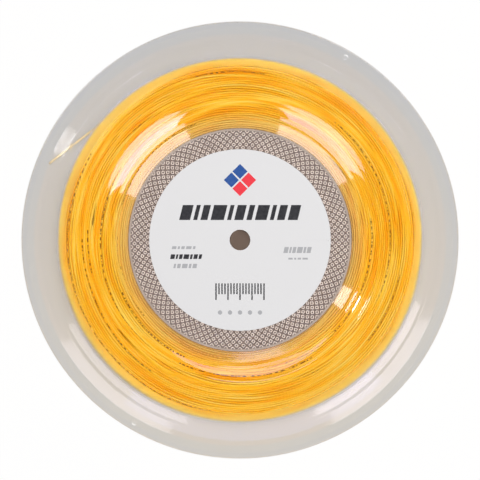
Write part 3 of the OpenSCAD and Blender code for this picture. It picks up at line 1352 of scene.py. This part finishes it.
@dataclass
class WoundString:
    """The wound string: its two faces, its side between the flanges and its inner turns."""

    sizes: ReelSizes
    diameter: float = 1.3 * MM
    outer_radius: float = 110.0 * MM
    face_height: float = 9.4 * MM
    pitch: float = 1.28 * MM
    turn_points: int = 110
    sides: int = 6
    wander: Wander = Wander()
    steady_outside: float = 4 * MM
    steady_inside: float = 3 * MM
    least_wander: float = 0.2
    fall_start: float = 101.0 * MM
    fall: float = 2.2 * MM
    fall_power: float = 2.5
    dip: float = 0.78 * MM
    dip_turn: float = 0.7
    shallow_dips: float = 0.3
    rare_dips: int = 7
    face_layers: tuple[Point, ...] = ((0.15 * MM, 0.0), (0.95 * MM, 0.64 * MM))
    crossings: int = 14
    crossing_turn: Range = (70, 170)
    crossing_shift: Range = (3, 8)
    crossing_inset: float = 5 * MM
    crossing_start: float = 9 * MM
    crossing_end: float = 6 * MM
    crossing_dive: float = 1.6 * MM
    diving: float = 0.12
    side_layers: tuple[Point, ...] = ((0.0, 0.0), (0.75 * MM, 0.64 * MM))
    side_pitch: float = 1.04 * 1.28 * MM
    side_dip: float = 0.4 * MM
    side_wander: float = 0.8
    core_gap: float = 0.3 * MM
    core_depth: float = 1.9 * MM
    core_sunk: float = 0.75 * MM
    core_rows: int = 24
    core_segments: int = 180
    seed: int = 7

    @property
    def radius(self) -> float:
        """The string's radius."""
        return self.diameter / 2

    def height(self, radius: np.ndarray) -> np.ndarray:
        """Gives the heights over the middle plane of the upper layer's centre lines."""
        over = np.clip((radius - self.fall_start) / (self.outer_radius - self.fall_start), 0, 1)
        return self.face_height - self.radius - self.fall * over**self.fall_power

    def dips(self, angle: np.ndarray, rng: np.random.Generator) -> np.ndarray:
        """Makes slow random dips along a string.

        Args:
            angle: The angle reached along the string.
            rng: The source of chance.

        Returns:
            Values from 0 to 1.
        """
        reached = angle / self.dip_turn
        knots = rng.random(int(reached.max()) + 3)
        knots = self.shallow_dips * knots + (1 - self.shallow_dips) * knots**self.rare_dips
        return np.interp(reached, np.arange(len(knots)), knots)

    def on_face(self, face: Face, radius: np.ndarray, angle: np.ndarray,
                depth: np.ndarray) -> np.ndarray:
        """Gives points at some depths under a face of the pack."""
        height = self.height(radius) - depth
        return on_rings(radius, angle, self.sizes.mid + face.value * height)

    def spiral(self, face: Face, depth: float, offset: float,
               rng: np.random.Generator) -> np.ndarray:
        """Draws one layer of turns over a face of the pack.

        Args:
            face: The face it lies on.
            depth: How deep the layer lies under the pack's face.
            offset: How far its turns lie from the even spacing.
            rng: The source of chance.

        Returns:
            The points of the centre line.
        """
        start = self.sizes.drum_radius + self.diameter + offset
        turns = (self.outer_radius - self.radius - start) / self.pitch
        done = np.linspace(0, turns, int(turns * self.turn_points))
        angle = math.tau * done
        radius = start + self.pitch * done
        to_edge = self.outer_radius - self.radius - radius
        free = np.clip(to_edge / self.steady_outside, 0, 1)
        free = free * np.clip((radius - start) / self.steady_inside + self.least_wander, 0, 1)
        radius = radius + free * self.wander.at(radius, angle)
        return self.on_face(face, radius, angle, depth + self.dip * self.dips(angle, rng))

    def crossing(self, face: Face, rng: np.random.Generator) -> np.ndarray:
        """Draws one stretch that crosses its neighbours at a small angle.

        Args:
            face: The face it lies on.
            rng: The source of chance.

        Returns:
            The points of the centre line.
        """
        span = math.radians(rng.uniform(*self.crossing_turn))
        start = rng.uniform(0, math.tau)
        inner = self.sizes.drum_radius + self.crossing_inset
        radius_from = rng.uniform(inner, self.outer_radius - self.crossing_start)
        move = rng.choice([-1, 1]) * rng.uniform(*self.crossing_shift) * MM
        radius_to = np.clip(radius_from + move, inner, self.outer_radius - self.crossing_end)
        t = np.linspace(0, 1, int(span / math.tau * self.turn_points) + 8)
        angle = start + span * t
        radius = radius_from + (radius_to - radius_from) * (3 * t**2 - 2 * t**3)
        radius = radius + self.wander.at(radius, angle)
        ends = np.clip(np.minimum(t, 1 - t) / self.diving, 0, 1)
        return self.on_face(face, radius, angle, self.crossing_dive * (1 - ends))

    def build_face(self, face: Face) -> Piece:
        """Builds the string that shows on one face.

        Args:
            face: The face.

        Returns:
            The piece.
        """
        rng = np.random.default_rng(self.seed + face.value)
        layers = [self.spiral(face, *layer, rng) for layer in self.face_layers]
        crossings = [self.crossing(face, rng) for _ in range(self.crossings)]
        name = f"wound_string_{face.name.lower()}"
        return sweep(name, [*layers, *crossings], self.radius, self.sides)

    def build_side(self) -> Piece:
        """Builds the turns that show between the flanges.

        Returns:
            The piece.
        """
        rng = np.random.default_rng(self.seed)
        reach = self.face_height - self.fall - self.radius
        turns = 2 * reach / self.side_pitch
        done = np.linspace(0, turns, int(turns * self.turn_points))
        angle = math.tau * done
        routes = []
        for depth, offset in self.side_layers:
            height = reach - offset - self.side_pitch * done
            height = height + self.wander.at(height * 3, angle) * self.side_wander
            depths = depth + self.side_dip * self.dips(angle, rng)
            radius = self.outer_radius - self.radius - depths
            routes.append(on_rings(radius, angle, self.sizes.mid + height))
        return sweep("wound_string_side", routes, self.radius, self.sides)

    def build_core(self) -> Piece:
        """Builds the plain inner turns that fill the pack under its outer layers.

        Returns:
            The piece.
        """
        radii = np.linspace(self.sizes.drum_radius + self.core_gap,
                            self.outer_radius - self.core_depth, self.core_rows)
        heights = self.height(radii) - self.radius - self.core_sunk
        rows = np.stack([np.append(radii, radii[::-1]), np.append(heights, -heights[::-1])], 1)
        points = (rows + (0, self.sizes.mid)).tolist()
        core = turn(draw_line("inner_turns", points, closed=True), self.core_segments)
        bpy.ops.object.shade_smooth_by_angle(angle=SMOOTH_BELOW)
        return core

    def build(self) -> list[Piece]:
        """Builds the front face, the rear face, the side and the inner turns."""
        faces = [self.build_face(face) for face in Face]
        return [*faces, self.build_side(), self.build_core()]

    def dress(self, pieces: Sequence[Piece], string: bpy.types.Material) -> None:
        """Gives the pieces their finish and puts them in the place of their CAD nodes.

        Args:
            pieces: The pieces that build() gave.
            string: The string's material.
        """
        for piece in pieces:
            wear(piece, Slot.STRING, string)
        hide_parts("string_winding", "string_core")


@dataclass
class StringTail:
    """The string's free end, from the pack to its eyelet in the rear rim."""

    diameter: float = 1.3 * MM
    sides: int = 12
    finer: int = 3
    route: tuple[tuple[float, float, float], ...] = (
        (-67.8, 84.6, 7.25), (-70.6, 82.5, 7.25), (-73.4, 80.4, 7.25), (-76.2, 78.3, 7.25),
        (-79.0, 76.2, 7.25), (-81.8, 74.1, 7.2), (-84.6, 72.0, 7.2), (-87.4, 69.9, 7.1),
        (-90.2, 67.8, 7.0), (-93.0, 65.7, 6.9), (-95.8, 63.6, 6.7), (-98.6, 61.5, 6.4),
        (-101.4, 59.4, 6.0), (-104.2, 57.3, 5.6), (-107.0, 55.2, 5.1), (-109.8, 53.1, 4.6),
        (-112.6, 51.0, 4.0), (-114.6, 49.5, 3.4), (-116.2, 48.3, 2.7), (-117.0, 47.7, 1.9),
        (-117.4, 47.4, 1.1), (-117.4, 47.4, 0.4),
    )

    def build(self) -> Piece:
        """Returns:
            The piece.
        """
        points = np.array(self.route) * MM
        along = np.arange(len(points))
        fine = np.linspace(0, len(points) - 1, (len(points) - 1) * self.finer + 1)
        path = np.stack([np.interp(fine, along, points[:, i]) for i in range(3)], 1)
        run = points[1] - points[0]
        across = (run[1], -run[0], 0.0)
        tail = sweep("string_free_end", [path], self.diameter / 2, self.sides, across)
        return tail

    def dress(self, tail: Piece, string: bpy.types.Material) -> None:
        """Gives the free end its finish and puts it in the place of its CAD node."""
        wear(tail, Slot.STRING, string)
        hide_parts("string_tail")


# ---------------------------------------------------------------- the label


@dataclass
class Label:
    """The round paper label on the front hub."""

    sizes: ReelSizes
    radius: float = 54.5 * MM
    hole: float = 6.2 * MM
    thickness: float = 0.2 * MM
    edge: float = 0.04 * MM
    segments: int = 256

    @property
    def top(self) -> float:
        """Height of the label's printed side."""
        return self.sizes.mid + self.sizes.seat + self.thickness

    def build(self) -> Piece:
        """Builds the label's disc with its hole.

        Returns:
            The piece.
        """
        low, top, edge = self.top - self.thickness, self.top, self.edge
        section = [
            (self.hole, low), (self.hole, top), (self.radius - edge, top),
            (self.radius, top - edge), (self.radius, low),
        ]
        label = turn(draw_line("round_label", section, closed=True), self.segments)
        bpy.ops.object.shade_smooth_by_angle(angle=SMOOTH_BELOW)
        return label

    def dress(self, label: Piece, paper: bpy.types.Material) -> None:
        """Gives the label its finish and puts it in the place of its CAD node."""
        wear(label, Slot.PAPER, paper)
        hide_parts("front_label")


class Ink(Enum):
    """The inks of the label. The value is the ink's colour."""

    BLACK = (0.012, 0.012, 0.013, 1.0)
    GREY = (0.36, 0.36, 0.37, 1.0)
    BLUE = (0.003, 0.060, 0.26, 1.0)
    RED = (0.75, 0.020, 0.035, 1.0)


@dataclass(frozen=True)
class PrintRow:
    """A row of blocks, in millimetres. It starts at its left end, at half its height."""

    ink: Ink
    start: Point
    widths: tuple[float, ...]
    gap: float
    height: float
    slant: float = 0.0


WIDE_BLOCKS = (6.5, 2.4, 4.2, 8.0, 2.4, 5.4, 3.2, 7.0, 2.4, 4.6, 6.0)
SHORT_BLOCKS = (2.6, 1.2, 2.0, 3.2, 1.4, 2.4, 1.8)


@dataclass
class LabelPrint:
    """The label's plain print: a diamond, a row of slanted blocks, short rows and a scale."""

    label: Label
    rows: tuple[PrintRow, ...] = (
        PrintRow(Ink.BLACK, (-36.5, 16.5), WIDE_BLOCKS, 1.9, 9.0, 2.2),
        PrintRow(Ink.BLACK, (-42.0, -10.0), SHORT_BLOCKS, 0.7, 2.8, 0.6),
        PrintRow(Ink.GREY, (-41.0, -4.6), SHORT_BLOCKS[:5], 0.9, 1.7, 0.4),
        PrintRow(Ink.GREY, (-40.0, -15.6), SHORT_BLOCKS[1:6], 0.9, 2.6, 0.5),
        PrintRow(Ink.GREY, (26.0, -6.0), SHORT_BLOCKS[:6], 0.7, 3.6, 0.8),
        PrintRow(Ink.GREY, (29.0, -11.2), SHORT_BLOCKS[:4], 0.9, 1.1),
    )
    sunk: float = 0.02 * MM
    proud: float = 0.015 * MM
    diamond: Point = (0.0, 36.0 * MM)
    diamond_side: float = 6.4 * MM
    diamond_gap: float = 0.9 * MM
    scale_start: float = -14.4 * MM
    scale_pitch: float = 1.8 * MM
    scale_ticks: int = 17
    scale_top: float = -26.0 * MM
    short_ticks: int = 4
    long_tick: float = 10.0 * MM
    short_tick: float = 6.5 * MM
    tick_width: float = 0.8 * MM
    dot_count: int = 5
    dot_pitch: float = 6.0 * MM
    dot_radius: float = 1.3 * MM
    dot_sides: int = 24
    dot_row: float = -43.5 * MM

    @property
    def middle(self) -> float:
        """The print's middle height."""
        return self.label.top + (self.proud - self.sunk) / 2

    def block(self, place: Point, size: Point, slant: float = 0.0, turned: float = 0.0) -> Piece:
        """Prints one block.

        Args:
            place: The block's centre.
            size: Its width and height.
            slant: How far its upper edge leans to the right.
            turned: Its turn, in degrees.

        Returns:
            The block.
        """
        block = add_block("print_block", (*place, self.middle), (*size, self.sunk + self.proud),
                          math.radians(turned))
        if slant:
            with editing(block, action="DESELECT") as mesh:
                for vert in mesh.verts:
                    vert.select = vert.co.y > place[1]
                bpy.ops.transform.translate(value=(slant, 0, 0))
        return block

    def row(self, row: PrintRow) -> list[Piece]:
        """Prints a row of blocks from the left.

        Args:
            row: The row.

        Returns:
            The blocks.
        """
        blocks, (left, middle) = [], row.start
        for width in row.widths:
            place = ((left + width / 2) * MM, middle * MM)
            size = (width * MM, row.height * MM)
            blocks.append(self.block(place, size, row.slant * MM))
            left += width + row.gap
        return blocks

    def diamonds(self, ink: Ink) -> list[Piece]:
        """Prints two of the four small diamonds of the emblem.

        Args:
            ink: BLUE for the upper and left ones, RED for the others.

        Returns:
            The diamonds.
        """
        step = (self.diamond_side + self.diamond_gap) / math.sqrt(2)
        way = 1 if ink is Ink.BLUE else -1
        places = ((0.0, way * step), (-way * step, 0.0))
        size = (self.diamond_side, self.diamond_side)
        return [
            self.block((self.diamond[0] + x, self.diamond[1] + y), size, turned=45)
            for x, y in places
        ]

    def scale(self) -> list[Piece]:
        """Prints a plain scale of long and short ticks.

        Returns:
            The ticks.
        """
        ticks = []
        for i in range(self.scale_ticks):
            length = self.short_tick if i % self.short_ticks else self.long_tick
            place = (self.scale_start + i * self.scale_pitch, self.scale_top - length / 2)
            ticks.append(self.block(place, (self.tick_width, length)))
        return ticks

    def dots(self) -> list[Piece]:
        """Prints the row of dots.

        Returns:
            The dots.
        """
        dots = []
        for i in range(self.dot_count):
            x = (i - (self.dot_count - 1) / 2) * self.dot_pitch
            bpy.ops.object.select_all(action="DESELECT")
            bpy.ops.mesh.primitive_cylinder_add(
                vertices=self.dot_sides, radius=self.dot_radius, depth=self.sunk + self.proud,
                location=(x, self.dot_row, self.middle),
            )
            dots.append(name_piece("print_dot"))
        return dots

    def build(self) -> dict[Ink, Piece]:
        """Builds the print, one piece for each ink.

        Returns:
            The pieces by ink.
        """
        parts_in = {ink: [] for ink in Ink}
        for row in self.rows:
            parts_in[row.ink] += self.row(row)
        parts_in[Ink.BLACK] += self.scale()
        parts_in[Ink.GREY] += self.dots()
        for ink in (Ink.BLUE, Ink.RED):
            parts_in[ink] += self.diamonds(ink)
        pieces = {}
        for ink, parts in parts_in.items():
            pieces[ink] = join(parts)
            pieces[ink].name = pieces[ink].data.name = f"label_print_{ink.name.lower()}"
        return pieces

    def dress(self, pieces: dict[Ink, Piece]) -> None:
        """Gives each piece of the print its ink."""
        for ink, piece in pieces.items():
            wear(piece, Slot.PAPER, PrintInk(f"ink_{ink.name.lower()}", ink.value).material())


# ---------------------------------------------------------------- the studio


class LampShape(Enum):
    """The shapes of a lamp. The value is the light's own setting."""

    RECTANGLE = "RECTANGLE"
    ELLIPSE = "ELLIPSE"


@dataclass(frozen=True)
class Softbox:
    """A lamp that faces the reel, and that only reflections show unless it lights.

    Its turn and lean are in degrees, and its size is its width and its height.
    """

    name: str
    turn: float
    lean: float
    size: Point
    power: float
    colour: tuple[float, float, float] = (1.0, 1.0, 1.0)
    shape: LampShape = LampShape.RECTANGLE
    distance: float = 1.1
    lights: bool = False
    shines: bool = True

    def place(self, target: Vector) -> None:
        """Adds the lamp, turned to a point.

        Args:
            target: The point that it faces.
        """
        lean = math.radians(self.lean)
        out = spoke(math.radians(self.turn), math.sin(lean)) + Vector(AXIS) * math.cos(lean)
        light = bpy.data.lights.new(self.name, "AREA")
        light.shape = self.shape.value
        light.size, light.size_y = self.size
        light.energy = self.power
        light.color = self.colour
        lamp = bpy.data.objects.new(self.name, light)
        lamp.location = target + out * self.distance
        lamp.rotation_euler = out.to_track_quat("Z", "Y").to_euler()
        lamp.visible_diffuse = self.lights
        lamp.visible_glossy = lamp.visible_transmission = self.shines
        bpy.context.scene.collection.objects.link(lamp)


@dataclass(frozen=True)
class LampRow:
    """A row of thin lamps, one over the other, that only reflections show."""

    name: str
    turn: float
    lean: float
    step: float
    count: int
    size: Point
    power: float

    def lamps(self) -> list[Softbox]:
        """Gives the row's lamps."""
        return [Softbox(f"{self.name}_{i + 1}", self.turn, self.lean + i * self.step, self.size,
                        self.power) for i in range(self.count)]


@dataclass
class Studio:
    """The floor, the lamps and the camera."""

    sizes: ReelSizes
    view_width: float = 288 * MM
    distance: float = 1.1
    sensor: float = 36.0
    floor_size: float = 4.0
    world_strength: float = 0.05
    horizon: Point = (0.35, 0.6)
    lamps: tuple[Softbox, ...] = (
        Softbox("softbox_right", 50, 41, (0.50, 0.27), 1.95, (0.68, 0.68, 1.0)),
        Softbox("bar_right", 50, 32, (0.50, 0.078), 0.42, (0.9, 0.85, 0.9)),
        Softbox("strip_right", 50, 25.7, (0.37, 0.19), 0.62, (0.9, 0.87, 0.96), LampShape.ELLIPSE),
        Softbox("softbox_left", 137, 41, (0.50, 0.27), 2.9, (0.68, 0.66, 1.0)),
        Softbox("bar_left", 137, 32, (0.50, 0.078), 0.62, (0.9, 0.85, 0.9)),
        Softbox("strip_left", 137, 25.7, (0.37, 0.19), 0.69, (0.9, 0.87, 0.96), LampShape.ELLIPSE),
        Softbox("spot_low_right", 331, 41.7, (0.09, 0.055), 0.6),
        Softbox("fill_below", 275, 49, (1.40, 0.58), 4.15, (0.42, 0.5, 1.0), LampShape.ELLIPSE),
        Softbox("strip_below", 280, 25.6, (0.40, 0.03), 0.079, (0.6, 0.62, 1.0)),
        Softbox("top_light", 40, 6, (1.2, 1.2), 32.6, distance=1.6, lights=True, shines=False),
    )
    rows: tuple[LampRow, ...] = (
        LampRow("tubes_on_shoulder", 331, 25.2, 0.42, 3, (0.085, 0.0056), 0.0125),
        LampRow("tubes_on_cone", 331, 27.9, 0.8, 2, (0.07, 0.006), 0.03),
        LampRow("tube_on_rise", 331, 32.0, 0.2, 1, (0.07, 0.003), 0.02),
    )

    def build(self) -> None:
        """Sets up the floor, the world, the lamps and the camera."""
        target = Vector((0, 0, 2 * self.sizes.mid))
        self.camera(target)
        bpy.ops.object.select_all(action="DESELECT")
        bpy.ops.mesh.primitive_plane_add(size=self.floor_size)
        floor = name_piece("studio_floor")
        floor.data.materials.append(StudioFloor().material())
        floor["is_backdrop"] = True
        tubes = [lamp for row in self.rows for lamp in row.lamps()]
        for lamp in [*self.lamps, *tubes]:
            lamp.place(target)
        bpy.context.scene.world = self.surroundings()
        bpy.context.scene.view_settings.view_transform = "Standard"

    def surroundings(self) -> bpy.types.World:
        """Makes the world: dim overhead, and white near the horizon where it is seen.

        Returns:
            The world.
        """
        world = bpy.data.worlds.new("studio")
        nodes = Nodes(world, "World")
        way = nodes.add("SeparateXYZ", {0: nodes.add("TexCoord").outputs["Generated"]})
        white = nodes.spread(way.outputs[2], *self.horizon, 1.0, self.world_strength)
        path = nodes.add("LightPath").outputs
        lit = nodes.math("MAXIMUM", path["Is Diffuse Ray"], path["Is Shadow Ray"])
        strength = nodes.add("Mix", {0: lit, 2: white, 3: self.world_strength}).outputs[0]
        nodes.show(nodes.add("Background", {"Color": (1, 1, 1, 1), "Strength": strength}))
        return world

    def camera(self, target: Vector) -> None:
        """Adds the camera straight above the reel.

        Args:
            target: The point that it faces.
        """
        data = bpy.data.cameras.new("camera")
        data.sensor_width = self.sensor
        data.lens = self.sensor * self.distance / self.view_width
        camera = bpy.data.objects.new("camera", data)
        camera.location = target + Vector((0, 0, self.distance))
        bpy.context.scene.collection.objects.link(camera)
        bpy.context.scene.camera = camera


def main() -> None:
    """Builds the studio and every piece, and reports them."""
    logging.basicConfig(level=logging.INFO, format="%(name)s: %(message)s")
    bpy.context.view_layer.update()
    sizes = ReelSizes.measure()
    Studio(sizes).build()
    clear = ClearPlastic()
    rim = ClearPlastic("clear_plastic_rim", roughness=((111 * MM, 0.10), (112 * MM, 0.09)),
                       ior=1.28, gloss=0.3)
    plastics = (clear.material(), KnurledPlastic().material(), rim.material())
    string, paper = GlossyString(sizes.mid).material(), CoatedPaper().material()

    tail = StringTail()
    free_end = tail.build()
    tail.dress(free_end, SingleString(sizes.mid).material())
    report(free_end)

    curve = FlangeCurve(sizes)
    plain_curve = FlangeCurve(sizes, ledge_slope=19.6, rise_slope=19.6)
    for half in (HalfShell(Face.FRONT, sizes, curve, 60.0),
                 HalfShell(Face.REAR, sizes, plain_curve, 158.0)):
        shell = half.build()
        half.dress(shell, *plastics)
        report(shell)

    wound = WoundString(sizes)
    turns = wound.build()
    wound.dress(turns, string)
    report(*turns)

    label = Label(sizes)
    disc = label.build()
    label.dress(disc, paper)
    report(disc)

    prints = LabelPrint(label)
    inks = prints.build()
    prints.dress(inks)
    report(*inks.values())


if __name__ == "__main__":
    main()
